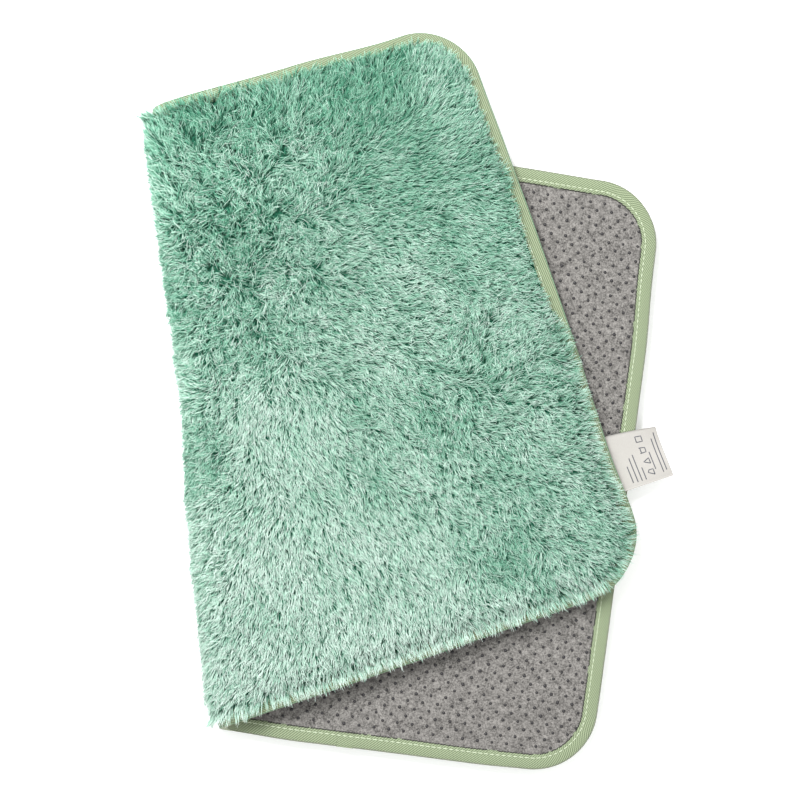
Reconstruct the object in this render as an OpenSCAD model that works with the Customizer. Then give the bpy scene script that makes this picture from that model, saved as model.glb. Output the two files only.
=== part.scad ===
// A plush bath mat folded over on itself. The lower half lies with its pile down and its
// grip dots up. The flap lies on top of it with its pile up. The fold is skewed, so the
// flap's edges are turned against the lower half's edges.
//
// X runs along the lower half's length, Y along its width and Z up. The origin is the
// middle of the face that the lower half rests on.

/* [Mat] */
// Width of the mat, across the direction in which it folds
mat_w = 430; // [300:1:600]
// Length of the mat before it is folded
mat_l = 596; // [480:1:900]
// Radius of the four corners
corner_r = 44; // [20:1:80]

/* [Fold] */
// Distance from the lower half's free edge to the middle of the fold, along the centre line
fold_from_edge = 316; // [260:1:420]
// Turn of the fold away from the mat's width direction, in degrees
fold_skew = 13.35; // [0:0.05:20]
// Radius inside the fold, measured to the felt
fold_inner_r = 5; // [4:0.5:12]
// Clear space left between the two halves' dots at the flap's far end
rest_gap = 0.3; // [0.2:0.1:2]

/* [Layers] */
// Thickness of the ground fabric that holds the pile
ground_t = 1; // [0.6:0.1:2]
// Thickness of the foam core
foam_t = 3.4; // [2:0.1:6]
// Thickness of the felt backing
felt_t = 1.6; // [1:0.1:3]
// Height of the pile under the lower half, pressed by the mat's weight
pile_pressed = 10; // [6:0.5:16]
// Height of the pile where it stands free
pile_free = 17; // [12:0.5:26]

/* [Edge binding] */
// Width of the tape on each face of the mat
tape_w = 10.5; // [8:0.5:16]
// Thickness of the tape
tape_t = 0.5; // [0.3:0.1:0.8]
// Distance from the mat's corner to the middle of the place where the tape's ends overlap
overlap_from_corner = 175; // [80:1:235]
// Length of the overlap of the tape's ends
overlap_l = 12; // [8:1:20]

/* [Stitching] */
// Distance from one stitch to the next
stitch_pitch = 4.2; // [3.5:0.1:8]
// Length of one stitch
stitch_l = 3; // [2:0.1:3.8]
// Width of the thread
thread_w = 0.8; // [0.5:0.1:1.2]
// Height of the thread above the tape
thread_h = 0.3; // [0.2:0.05:0.4]
// Distance from the tape's inner edge to the stitch line
stitch_inset = 2.2; // [1.5:0.1:4]

/* [Grip dots] */
// Diameter of one dot
dot_d = 2.2; // [1.5:0.1:4]
// Height of one dot above the felt
dot_h = 0.9; // [0.4:0.1:1]
// Distance between dots in a row, along the mat's length
dot_pitch = 10.6; // [8:0.1:24]
// Distance between rows, each shifted by half a pitch
dot_row = 5.5; // [5:0.1:16]

/* [Care label] */
// Width of the label, along the mat's edge
label_w = 42; // [25:1:60]
// Length of the label beyond the mat's edge
label_l = 38; // [25:1:60]
// Thickness of the label
label_t = 0.3; // [0.2:0.05:0.5]
// Distance from the flap's corner to the middle of the label
label_from_corner = 86; // [70:1:150]
// Gap that lets the label swing at the mat's edge
label_gap = 0.6; // [0.4:0.1:1]

/* [Hidden] */

// Clear space between touching solids that move apart or lie close
seam_gap = 0.1;
pile_gap = 0.4;
dot_clearance = 0.3;
print_t = 0.1;
far = 2000;

// How far the label's root ends short of the tape's inner edge, and its length under the tape
tab_short = 2.5;
label_tab_l = tape_w - tab_short;

base_t = ground_t + foam_t + felt_t;
neutral_r = fold_inner_r + base_t / 2;
outer_r = fold_inner_r + base_t;
pile_r = outer_r + pile_free;
backing_z = pile_pressed + base_t;
axis_z = backing_z + fold_inner_r;
// The flap dips from the bend towards its far end, until its dots nearly meet the lower ones
flap_reach = (mat_l - fold_from_edge) * cos(fold_skew) + mat_w / 2 * sin(fold_skew);
flap_dip = asin((2 * fold_inner_r - 2 * dot_h - rest_gap) / flap_reach);
wrap = 180 + flap_dip;
// Half of the length that the bend takes up, measured at mid thickness across the fold
bend_half = neutral_r * wrap * PI / 360;
// The outline's own frame has the fold's middle at 0; this brings it into the part's frame
flat_x = (fold_from_edge - bend_half / cos(fold_skew)) / 2 - fold_from_edge;

mint = [0.56, 0.79, 0.68];
sage = [0.66, 0.74, 0.56];
thread_green = [0.76, 0.83, 0.66];
felt_grey = [0.58, 0.57, 0.57];
rubber_black = [0.08, 0.08, 0.09];
foam_white = [0.9, 0.89, 0.84];
satin_white = [0.94, 0.94, 0.93];
print_grey = [0.35, 0.36, 0.38];

// ---- Flat outline: x along the mat, y across it, the fold's middle at the origin ----

module mat_outline(inset) {
    l = mat_l - 2 * inset;
    w = mat_w - 2 * inset;
    r = corner_r - inset;
    mid_x = fold_from_edge - mat_l / 2;
    translate([mid_x, 0])
        union() {
            square([l - 2 * r, w], center = true);
            square([l, w - 2 * r], center = true);
            for (x = [-1, 1], y = [-1, 1])
                translate([x * (l / 2 - r), y * (w / 2 - r)])
                    circle(r, $fn = 96);
        }
}

// Everything beyond the bend on one side of the fold: side 1 is the lower half, -1 the flap
module beyond_bend(side) {
    rotate(fold_skew)
        translate([side * (bend_half + seam_gap), 0])
            translate([side * far / 2, 0])
                square(far, center = true);
}

module half_outline(side, inset) {
    intersection() {
        mat_outline(inset);
        beyond_bend(side);
    }
}

// A slab of one half, from z0 to z1, still flat
module half_slab(side, inset, z0, z1) {
    translate([0, 0, z0])
        linear_extrude(z1 - z0)
            half_outline(side, inset);
}

// ---- Placing: children are built flat, pile down, with the backing face at backing_z ----

module place_lower() {
    translate([flat_x, 0, 0])
        children();
}

// Turns the fold's own frame (x across the fold, y along it, origin on its axis) into place
module place_fold_frame() {
    translate([flat_x, 0, 0])
        rotate([0, 0, fold_skew])
            translate([bend_half, 0, axis_z])
                children();
}

module place_flap() {
    place_fold_frame()
        rotate([0, wrap, 0])
            translate([bend_half, 0, -axis_z])
                rotate([0, 0, -fold_skew])
                    children();
}

module place_half(side) {
    if (side > 0)
        place_lower() children();
    else
        place_flap() children();
}

// ---- One module per layer of a half ----

module pile_half(side, height) {
    base = backing_z - base_t;
    place_half(side)
        half_slab(side, tape_w + pile_gap, base - height, base);
}

module ground_half(side) {
    base = backing_z - base_t;
    place_half(side)
        half_slab(side, tape_t, base, base + ground_t);
}

module foam_half(side) {
    place_half(side)
        half_slab(side, tape_t, backing_z - felt_t - foam_t, backing_z - felt_t);
}

module felt_half(side) {
    place_half(side)
        half_slab(side, tape_t, backing_z - felt_t, backing_z);
}

// The tape is a channel around the edge: a strip on each face and a wall between them
module binding_half(side) {
    bottom = backing_z - base_t;
    place_half(side)
        difference() {
            half_slab(side, 0, bottom - tape_t, backing_z + tape_t);
            translate([0, 0, bottom])
                linear_extrude(base_t)
                    mat_outline(tape_t);
            translate([0, 0, bottom - 5 * tape_t])
                linear_extrude(base_t + 10 * tape_t)
                    mat_outline(tape_w);
        }
}

// ---- Positions on the flat mat ----

function across_fold(p) = p[0] * cos(fold_skew) + p[1] * sin(fold_skew);

// Distance of a point from the outline, counted inwards
function edge_distance(p) =
    let (
        half_l = mat_l / 2,
        half_w = mat_w / 2,
        x = abs(p[0] - (fold_from_edge - half_l)) - (half_l - corner_r),
        y = abs(p[1]) - (half_w - corner_r)
    )
    corner_r - norm([max(x, 0), max(y, 0)]) - min(max(x, y), 0);

function on_half(side, p, margin) = side * across_fold(p) > bend_half + margin;

module dots_half(side) {
    rows = ceil(mat_w / dot_row / 2);
    columns = ceil(mat_l / dot_pitch);
    margin = dot_d / 2 + dot_clearance;
    place_half(side)
        for (j = [-rows:rows], i = [-columns:columns]) {
            p = [(i + (j % 2 == 0 ? 0 : 0.5)) * dot_pitch, j * dot_row];
            if (on_half(side, p, margin) && edge_distance(p) > tape_w + margin)
                translate([p[0], p[1], backing_z])
                    cylinder(d = dot_d, h = dot_h, $fn = 16);
        }
}

// Walks round the outline at a given inset: returns [point, direction] at distance s
function walk(s, inset) =
    let (
        r = corner_r - inset,
        straight_l = mat_l - 2 * corner_r,
        straight_w = mat_w - 2 * corner_r,
        arc = r * PI / 2,
        half_turn = straight_l + straight_w + 2 * arc,
        second = s >= half_turn,
        q = second ? s - half_turn : s,
        x0 = straight_l / 2,
        y0 = straight_w / 2,
        flat_p =
            q < straight_w ? [[x0 + r, q - y0], 90] :
            q < straight_w + arc ?
                let (a = (q - straight_w) / r * 180 / PI)
                [[x0 + r * cos(a), y0 + r * sin(a)], 90 + a] :
            q < straight_w + arc + straight_l ?
                [[x0 - (q - straight_w - arc), y0 + r], 180] :
                let (a = 90 + (q - straight_w - arc - straight_l) / r * 180 / PI)
                [[-x0 + r * cos(a), y0 + r * sin(a)], 90 + a]
    )
    second ? [-flat_p[0], flat_p[1] + 180] : flat_p;

function outline_length(inset) =
    2 * (mat_l + mat_w - 4 * corner_r) + 2 * PI * (corner_r - inset);

module stitches_half(side) {
    inset = tape_w - stitch_inset;
    count = floor(outline_length(inset) / stitch_pitch);
    pitch = outline_length(inset) / count;
    mid_x = fold_from_edge - mat_l / 2;
    place_half(side)
        for (k = [0:count - 1]) {
            spot = walk((k + 0.5) * pitch, inset);
            p = spot[0] + [mid_x, 0];
            clear_of_overlap = side < 0 || !near_overlap(p);
            if (on_half(side, p, stitch_l / 2) && clear_of_overlap)
                translate([p[0], p[1], backing_z + tape_t + thread_h / 2])
                    rotate(spot[1])
                        cube([stitch_l, thread_w, thread_h], center = true);
        }
}

// ---- Where the tape's ends overlap, on the lower half's edge ----

overlap_x = fold_from_edge - overlap_from_corner;

function near_overlap(p) =
    p[1] < 0 && abs(p[0] - overlap_x) < (overlap_l + stitch_l) / 2 + thread_w;

module binding_overlap() {
    color(sage * 0.92)
        place_lower()
            translate([overlap_x - overlap_l / 2, -mat_w / 2, backing_z + tape_t])
                cube([overlap_l, tape_w, tape_t]);
}

// ---- The bend: layers are parts of a cylinder shell around the fold's axis ----

// Section of the shell from radius r0 to r1, over the angle that the sheet turns. A shape that
// only cuts goes beyond both ends.
module bend_section(r0, r1, beyond) {
    intersection() {
        difference() {
            circle(r1, $fn = 96);
            circle(r0, $fn = 96);
        }
        union() {
            translate([beyond - far / 2, 0])
                square(far, center = true);
            rotate(-flap_dip)
                translate([beyond - far / 2, 0])
                    square(far, center = true);
        }
    }
}

// The mat's side edges cross the skewed fold at a slant, so both ends of the shell lean.
// The ends are true at radius lean_r.
module bend_shell(r0, r1, inset, lean_r = neutral_r, beyond = 0) {
    lean = atan(bend_half * tan(fold_skew) / lean_r);
    length = (mat_w - 2 * inset) / cos(fold_skew);
    intersection() {
        rotate([90, 0, 0])
            linear_extrude(2 * mat_w, center = true)
                bend_section(r0, r1, beyond);
        rotate([-lean, 0, 0])
            cube([far, length * cos(lean), far], center = true);
    }
}

// A layer of the bend stops just short of the tape that wraps its ends
module fold_layer(r0, r1) {
    place_fold_frame()
        bend_shell(r0, r1, tape_t + seam_gap);
}

module fold_ground_fabric() {
    color(mint * 0.8)
        fold_layer(outer_r - ground_t, outer_r);
}

module fold_foam_core() {
    color(foam_white)
        fold_layer(fold_inner_r + felt_t, outer_r - ground_t);
}

module fold_felt_backing() {
    color(felt_grey)
        fold_layer(fold_inner_r, fold_inner_r + felt_t);
}

// The pile stands out all round the bend, and what it rests on cuts it off flat. Its ends
// lean less than the tape's, so they stand back by the difference.
module fold_pile() {
    mid_r = (outer_r + pile_r) / 2;
    tape_r = outer_r + tape_t;
    lean_gap = bend_half * tan(fold_skew) * tape_r * (1 / neutral_r - 1 / mid_r);
    color(mint)
        intersection() {
            place_fold_frame()
                bend_shell(outer_r, pile_r, tape_w + pile_gap + lean_gap, mid_r);
            translate([0, 0, far / 2])
                cube(far, center = true);
        }
}

module fold_edge_binding() {
    color(sage)
        place_fold_frame()
            difference() {
                bend_shell(fold_inner_r - tape_t, outer_r + tape_t, 0);
                bend_shell(fold_inner_r, outer_r, tape_t, beyond = tape_t);
                bend_shell(
                    fold_inner_r - 2 * tape_t, outer_r + 2 * tape_t, tape_w, beyond = tape_t
                );
            }
}

// Stitches on the inside of the bend, laid along the tape at both ends
module fold_stitching() {
    r = fold_inner_r - tape_t - thread_h / 2;
    turn = stitch_pitch / neutral_r * 180 / PI;
    count = floor(wrap / turn);
    first = (wrap - (count - 1) * turn) / 2;
    color(thread_green)
        place_fold_frame()
            for (end = [-1, 1], k = [0:count - 1]) {
                a = first + k * turn;
                s = bend_half - neutral_r * a * PI / 180;
                v = end * (mat_w / 2 - tape_w + stitch_inset);
                y = v / cos(fold_skew) - s * tan(fold_skew);
                rotate([0, a, 0])
                    translate([0, y, -r + thread_h])
                        cube([stitch_l * r / neutral_r, thread_w, thread_h], center = true);
            }
}

// ---- Lower half ----

module lower_pile() {
    color(mint) pile_half(1, pile_pressed);
}

module lower_ground_fabric() {
    color(mint * 0.8) ground_half(1);
}

module lower_foam_core() {
    color(foam_white) foam_half(1);
}

module lower_felt_backing() {
    color(felt_grey) felt_half(1);
}

module lower_grip_dots() {
    color(rubber_black) dots_half(1);
}

module lower_edge_binding() {
    color(sage) binding_half(1);
}

module lower_stitching() {
    color(thread_green) stitches_half(1);
}

// ---- Flap ----

module flap_pile() {
    color(mint) pile_half(-1, pile_free);
}

module flap_ground_fabric() {
    color(mint * 0.8) ground_half(-1);
}

module flap_foam_core() {
    color(foam_white) foam_half(-1);
}

module flap_felt_backing() {
    color(felt_grey) felt_half(-1);
}

module flap_grip_dots() {
    color(rubber_black) dots_half(-1);
}

module flap_edge_binding() {
    color(sage)
        difference() {
            binding_half(-1);
            place_flap()
                label_sheet(-label_tab_l - 0.2, 0.2, 0.2);
        }
}

module flap_stitching() {
    color(thread_green) stitches_half(-1);
}

// ---- Care label, at the flap's free edge, in the flat mat's frame ----

flap_edge_x = fold_from_edge - mat_l;
label_y = label_from_corner - mat_w / 2;

// A sheet of the label from one distance beyond the edge to another, grown by a margin
module label_sheet(from, to, grow = 0) {
    translate([flap_edge_x - to, label_y - label_w / 2 - grow, backing_z - grow])
        cube([to - from, label_w + 2 * grow, label_t + grow]);
}

// The tab lies on the felt, inside a slot in the tape
module label_tab() {
    color(satin_white)
        place_flap()
            label_sheet(-label_tab_l, -seam_gap);
}

module care_label() {
    color(satin_white)
        place_flap()
            label_sheet(label_gap, label_gap + label_l);
}

// Four plain care symbols in a column and a block of plain bars
module label_print() {
    rows = 4;
    row_pitch = label_w / (rows + 1.5);
    symbol_w = row_pitch * 0.6;
    bar_l = label_l * 0.4;
    line_t = 0.6;
    face_z = backing_z - print_t;
    color(print_grey)
        place_flap()
            for (k = [0:rows - 1]) {
                y = label_y + (k - (rows - 1) / 2) * row_pitch;
                translate([flap_edge_x - label_gap - label_l * 0.2, y, face_z])
                    linear_extrude(print_t)
                        difference() {
                            square(symbol_w, center = true);
                            square(symbol_w - 2 * line_t, center = true);
                        }
                for (row = [-1, 1])
                    translate([flap_edge_x - label_gap - label_l * 0.62, y + row * 1.8, face_z])
                        linear_extrude(print_t)
                            square([bar_l, line_t], center = true);
            }
}

// Bar tacks at both ends of the label's tab, through the tape
module label_stitches() {
    color(satin_white * 0.95)
        place_flap()
            for (end = [-1, 1]) {
                y = label_y + end * (label_w / 2 - thread_w);
                translate([flap_edge_x + tape_w / 4, y, backing_z + tape_t + thread_h / 2])
                    cube([stitch_l, thread_w, thread_h], center = true);
            }
}

lower_pile();
lower_ground_fabric();
lower_foam_core();
lower_felt_backing();
lower_grip_dots();
lower_edge_binding();
lower_stitching();
binding_overlap();
fold_pile();
fold_ground_fabric();
fold_foam_core();
fold_felt_backing();
fold_edge_binding();
fold_stitching();
flap_pile();
flap_ground_fabric();
flap_foam_core();
flap_felt_backing();
flap_grip_dots();
flap_edge_binding();
flap_stitching();
label_tab();
care_label();
label_print();
label_stitches();
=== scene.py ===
"""A plush bath mat folded over on itself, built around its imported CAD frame.

Every layer is drawn on the flat mat first, at (u, v, n): u along the mat, v across it, both
from the middle of the fold, and n from the felt's outer face towards the pile. The function
bend() then lays those points on the lower half, round the fold or on the flap.
Lengths are in metres.
"""

import math

import bpy
import numpy as np
from mathutils import Matrix, Vector


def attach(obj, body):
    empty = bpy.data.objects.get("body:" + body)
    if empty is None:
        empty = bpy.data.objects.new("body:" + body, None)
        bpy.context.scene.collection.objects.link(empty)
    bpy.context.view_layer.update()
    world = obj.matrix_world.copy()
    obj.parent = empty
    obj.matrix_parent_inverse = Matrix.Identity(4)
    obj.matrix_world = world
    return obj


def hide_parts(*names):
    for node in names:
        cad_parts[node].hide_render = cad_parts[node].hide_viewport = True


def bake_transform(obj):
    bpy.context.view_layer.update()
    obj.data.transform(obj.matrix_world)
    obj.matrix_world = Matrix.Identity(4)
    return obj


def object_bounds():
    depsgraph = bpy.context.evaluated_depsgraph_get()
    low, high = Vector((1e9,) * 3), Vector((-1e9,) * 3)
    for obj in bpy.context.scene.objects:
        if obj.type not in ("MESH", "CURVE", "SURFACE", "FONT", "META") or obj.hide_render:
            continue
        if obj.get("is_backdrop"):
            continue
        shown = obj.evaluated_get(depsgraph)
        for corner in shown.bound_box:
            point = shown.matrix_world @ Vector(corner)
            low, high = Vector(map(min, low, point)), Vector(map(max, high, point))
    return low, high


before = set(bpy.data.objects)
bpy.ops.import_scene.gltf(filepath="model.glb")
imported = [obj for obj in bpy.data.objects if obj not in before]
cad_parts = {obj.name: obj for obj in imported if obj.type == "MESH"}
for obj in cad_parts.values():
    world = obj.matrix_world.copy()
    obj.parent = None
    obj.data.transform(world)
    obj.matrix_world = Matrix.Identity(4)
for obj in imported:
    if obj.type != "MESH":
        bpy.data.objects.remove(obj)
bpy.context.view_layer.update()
random = np.random.default_rng(20)

# ---------------------------------------------------------------- the mat's own sizes

MM = 0.001
MAT_W = 430 * MM
MAT_L = 596 * MM
CORNER_R = 44 * MM
FOLD_FROM_EDGE = 316 * MM  # from the lower half's free edge to the middle of the fold
FOLD_SKEW = math.radians(13.35)
FOLD_R = 5 * MM  # radius inside the fold
FELT_T = 1.6 * MM
FOAM_T = 3.4 * MM
GROUND_T = 1.0 * MM
BASE_T = FELT_T + FOAM_T + GROUND_T
PILE_PRESSED = 10 * MM
DOT_H = 0.9 * MM
REST_GAP = 0.3 * MM
TAPE_W = 10.5 * MM
TAPE_T = 0.5 * MM
STITCH_PITCH = 4.2 * MM
STITCH_INSET = 2.2 * MM
DOT_D = 2.2 * MM
DOT_PITCH = 10.6 * MM
DOT_ROW = 5.5 * MM
LABEL_W = 42 * MM
LABEL_L = 38 * MM
LABEL_FROM_CORNER = 86 * MM
OVERLAP_FROM_CORNER = 175 * MM
OVERLAP_L = 12 * MM

EDGE_U = {1: FOLD_FROM_EDGE, -1: FOLD_FROM_EDGE - MAT_L}  # free edges: lower half 1, flap -1
HALF_W = MAT_W / 2
NEUTRAL_R = FOLD_R + BASE_T / 2
REACH = (MAT_L - FOLD_FROM_EDGE) * math.cos(FOLD_SKEW) + HALF_W * math.sin(FOLD_SKEW)
DIP = math.asin((2 * FOLD_R - 2 * DOT_H - REST_GAP) / REACH)
WRAP = math.pi + DIP
BEND = NEUTRAL_R * WRAP / 2  # half of the length that the fold takes up
BACKING_Z = PILE_PRESSED + BASE_T
AXIS_Z = BACKING_Z + FOLD_R
FLAT_X = (FOLD_FROM_EDGE - BEND / math.cos(FOLD_SKEW)) / 2 - FOLD_FROM_EDGE
ACROSS = np.array([math.cos(FOLD_SKEW), math.sin(FOLD_SKEW), 0.0])  # across the fold
ALONG = np.array([-math.sin(FOLD_SKEW), math.cos(FOLD_SKEW), 0.0])
UP = np.array([0.0, 0.0, 1.0])
AXIS_POINT = np.array([FLAT_X, 0, AXIS_Z]) + BEND * ACROSS

# ---------------------------------------------------------------- camera, light and floor

VIEW_CENTRE = Vector((-0.0174, 0.0371, BACKING_Z))
VIEW_WIDTH = 800 / 592 * MAT_W  # the mat's width takes up 592 of the picture's 800 parts
CAMERA_DISTANCE = 2.3
CAMERA_ELEVATION = math.radians(87)
CAMERA_ROLL = math.radians(7.4)  # the lower half lies turned clockwise by this much
SENSOR = 36.0


WORLD_STRENGTH = 0.77
KEY_SIZE, KEY_POWER = 0.8, 57
FILL_SIZE, FILL_POWER = 1.2, 8
FLOOR_SIZE = 6.0
FLOOR_DEPTH = 0.4 * MM  # the floor lies just under the mat
FLOOR_ALBEDO = 0.93
FLOOR_GLOW = 0.26


def make_camera():
    data = bpy.data.cameras.new("camera")
    data.sensor_width = SENSOR
    data.lens = SENSOR * CAMERA_DISTANCE / VIEW_WIDTH
    camera = bpy.data.objects.new("camera", data)
    bpy.context.collection.objects.link(camera)
    south = Matrix.Rotation(CAMERA_ROLL, 4, "Z") @ Vector((0, -1, 0))
    away = south * math.cos(CAMERA_ELEVATION) + Vector((0, 0, 1)) * math.sin(CAMERA_ELEVATION)
    camera.location = VIEW_CENTRE + away * CAMERA_DISTANCE
    camera.rotation_euler = (math.pi / 2 - CAMERA_ELEVATION, 0, CAMERA_ROLL)
    bpy.context.scene.camera = camera
    return camera


def add_area(name, place, target, size, power, colour=(1, 1, 1)):
    data = bpy.data.lights.new(name, "AREA")
    data.shape = "DISK"
    data.size = size
    data.energy = power
    data.color = colour
    lamp = bpy.data.objects.new(name, data)
    lamp.location = place
    aim = Vector(target) - Vector(place)
    lamp.rotation_euler = aim.to_track_quat("-Z", "Y").to_euler()
    bpy.context.collection.objects.link(lamp)
    return lamp


def make_studio():
    world = bpy.data.worlds.new("studio")
    world.use_nodes = True
    background = world.node_tree.nodes["Background"]
    background.inputs["Color"].default_value = (1, 1, 1, 1)
    background.inputs["Strength"].default_value = WORLD_STRENGTH
    bpy.context.scene.world = world
    add_area("key", (-0.7, 0.75, 1.7), (0, 0.03, 0), KEY_SIZE, KEY_POWER)
    add_area("fill", (0.9, -0.6, 1.5), (0, 0, 0), FILL_SIZE, FILL_POWER)
    bpy.context.scene.view_settings.view_transform = "Standard"


def make_floor():
    size = FLOOR_SIZE
    mesh = bpy.data.meshes.new("floor")
    corners = [(-size, -size), (size, -size), (size, size), (-size, size)]
    mesh.from_pydata([(x, y, -FLOOR_DEPTH) for x, y in corners], [], [(0, 1, 2, 3)])
    floor = bpy.data.objects.new("floor", mesh)
    bpy.context.collection.objects.link(floor)
    mat = bpy.data.materials.new("floor")
    mat.use_nodes = True
    shader = mat.node_tree.nodes["Principled BSDF"]
    shader.inputs["Base Color"].default_value = (FLOOR_ALBEDO, FLOOR_ALBEDO, FLOOR_ALBEDO, 1)
    shader.inputs["Roughness"].default_value = 0.9
    shader.inputs["Specular IOR Level"].default_value = 0.1
    shader.inputs["Emission Color"].default_value = (1, 1, 1, 1)
    shader.inputs["Emission Strength"].default_value = FLOOR_GLOW
    mesh.materials.append(mat)
    floor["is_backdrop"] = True


make_camera()
make_studio()
make_floor()

# ---------------------------------------------------------------- from the flat mat to space


def smooth(x):
    x = np.clip(x, 0, 1)
    return x * x * (3 - 2 * x)


def plan_outside_lower(point):
    """How far points lie outside the lower half's outline, seen from above."""
    mid_x = FLAT_X + FOLD_FROM_EDGE - MAT_L / 2
    x = np.abs(point[..., 0] - mid_x) - (MAT_L / 2 - CORNER_R)
    y = np.abs(point[..., 1]) - (HALF_W - CORNER_R)
    return np.hypot(np.maximum(x, 0), np.maximum(y, 0)) - CORNER_R


DROOP_REACH = 115 * MM
DROOP_DEPTH = 15 * MM


def wave(point, size, seed):
    """Smooth value from -1 to 1 that changes over about size, from a few sines."""
    total = 0
    for k in range(4):
        turn = seed * 1.7 + k * 2.4
        step = size * (0.8 + 0.25 * k)
        along = point[..., 0] * math.cos(turn) + point[..., 1] * math.sin(turn)
        total = total + np.sin(along / step * 2 * math.pi + seed + k * 1.3)
    return total / 4


def interp(x, stops):
    """Smooth curve through (place, value) pairs in millimetres."""
    xs, ys = np.array(stops, float).T * MM
    k = np.clip(np.searchsorted(xs, x) - 1, 0, len(xs) - 2)
    share = smooth((x - xs[k]) / (xs[k + 1] - xs[k]))
    return ys[k] + (ys[k + 1] - ys[k]) * share


SKEWED = math.tan(math.radians(0.45))  # the mat doesn't lie quite square
# How far the outline lies from the straight, in mm: (place along the edge, distance) pairs, given
# to follow the object as it was seen. Bulges go out and tucks go in.
FOLD_BULGE = (
    (-220, 4.0), (-150, 4.0), (-90, 4.5), (-60, 4.5), (-15, 1.0),
    (50, 2.5), (120, 5.5), (180, 9.0), (215, 10.5),
)
EDGE_BULGE = ((-300, 1.8), (-230, 4.5), (-150, 9.5), (-70, 11.5), (0, 7.5))
FLAP_END_TUCK = (
    (-215, 0.0), (-170, 1.5), (-120, 3.5), (-80, 2.5), (-40, 1.0),
    (60, 1.0), (110, 2.0), (160, 3.0), (215, 2.5),
)
LOWER_UPPER_BULGE = ((-60, 0.0), (40, 1.0), (200, 2.4), (290, 0.0), (330, -1.0))
LOWER_NEAR_BULGE = ((-60, 2.0), (230, 2.0), (290, 0.5), (330, 0.0))
LOWER_END_BULGE = ((-215, 0.8), (-150, 1.7), (90, 1.7), (160, -0.8), (215, -2.5))
CORNER_TUCK = 5.0 * MM  # the flap's lower corner is drawn in
CORNER_REACH = 60 * MM


def settle(place, u, v, s, t):
    """Moves points a few millimetres in plan, as the cloth has settled."""
    near_fold = smooth(1 - np.abs(s) / (130 * MM))
    place -= (interp(t, FOLD_BULGE) * near_fold)[..., None] * ACROSS
    upper = smooth(v / HALF_W) * smooth(1 - s / (90 * MM))
    place += (interp(u, EDGE_BULGE) * upper)[..., None] * ALONG
    corner = np.hypot(u - EDGE_U[-1], v + HALF_W)
    tuck = CORNER_TUCK * smooth(1 - corner / CORNER_REACH) * math.sqrt(0.5)
    place += tuck[..., None] * (ALONG - ACROSS)
    free_end = smooth((-u - 150 * MM) / (110 * MM))
    place[..., 0] -= interp(v, FLAP_END_TUCK) * free_end
    lower = smooth(s / (60 * MM))
    place[..., 0] += interp(v, LOWER_END_BULGE) * lower * smooth((u - 150 * MM) / (110 * MM))
    place[..., 1] += interp(u, LOWER_UPPER_BULGE) * lower * smooth(v / HALF_W)
    place[..., 1] -= interp(u, LOWER_NEAR_BULGE) * lower * smooth(-v / HALF_W)
    place[..., 0] += SKEWED * (place[..., 1] + HALF_W)


def bend(u, v, n):
    """Flat mat to space: points at (u, v), n above the felt's outer face."""
    u, v, n = np.broadcast_arrays(*(np.asarray(x, float) for x in (u, v, n)))
    s = u * math.cos(FOLD_SKEW) + v * math.sin(FOLD_SKEW)
    t = -u * math.sin(FOLD_SKEW) + v * math.cos(FOLD_SKEW)
    angle = np.clip((BEND - s) / NEUTRAL_R, 0, WRAP)
    radius = FOLD_R + n
    x = -radius * np.sin(angle) + np.where(s > BEND, s - BEND, 0)
    z = -radius * np.cos(angle)
    past = np.where(s < -BEND, -BEND - s, 0)
    x = x + past * math.cos(DIP)
    z = z - past * math.sin(DIP)
    place = AXIS_POINT + x[..., None] * ACROSS + t[..., None] * ALONG + z[..., None] * UP
    settle(place, u, v, s, t)
    on_flap = smooth(past / (40 * MM))
    droop = DROOP_DEPTH * smooth(np.maximum(plan_outside_lower(place), 0) / DROOP_REACH)
    waves = 1.1 * MM * wave(np.stack([u, v], -1), 150 * MM, 3)
    place[..., 2] += on_flap * (waves - droop)
    on_lower = smooth((s - BEND) / (40 * MM))
    lower_waves = 0.45 * MM * wave(np.stack([u, v], -1), 90 * MM, 8)
    place[..., 2] += on_lower * lower_waves * smooth(n / BASE_T * -1 + 1)
    return place


def normals(u, v, n=BASE_T):
    """Unit directions at the mat's surface: along u, along v and out of the pile's side."""
    step = 0.5 * MM
    du = bend(u + step, v, n) - bend(u - step, v, n)
    dv = bend(u, v + step, n) - bend(u, v - step, n)
    du /= np.linalg.norm(du, axis=-1, keepdims=True)
    out = np.cross(dv, du)
    out /= np.linalg.norm(out, axis=-1, keepdims=True)
    return du, np.cross(du, out), out


def unit(vector):
    return vector / (np.linalg.norm(vector, axis=-1, keepdims=True) + 1e-12)


def across_fold(u, v):
    return u * math.cos(FOLD_SKEW) + v * math.sin(FOLD_SKEW)


def edge_distance(u, v):
    """Distance of flat points from the mat's outline, counted inwards."""
    x = np.abs(u - (FOLD_FROM_EDGE - MAT_L / 2)) - (MAT_L / 2 - CORNER_R)
    y = np.abs(v) - (HALF_W - CORNER_R)
    outside = np.hypot(np.maximum(x, 0), np.maximum(y, 0))
    return CORNER_R - outside - np.minimum(np.maximum(x, y), 0)


# ---------------------------------------------------------------- making pieces


def link(name, mesh, material):
    piece = bpy.data.objects.new(name, mesh)
    bpy.context.collection.objects.link(piece)
    if material:
        mesh.materials.append(material)
    return piece


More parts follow.
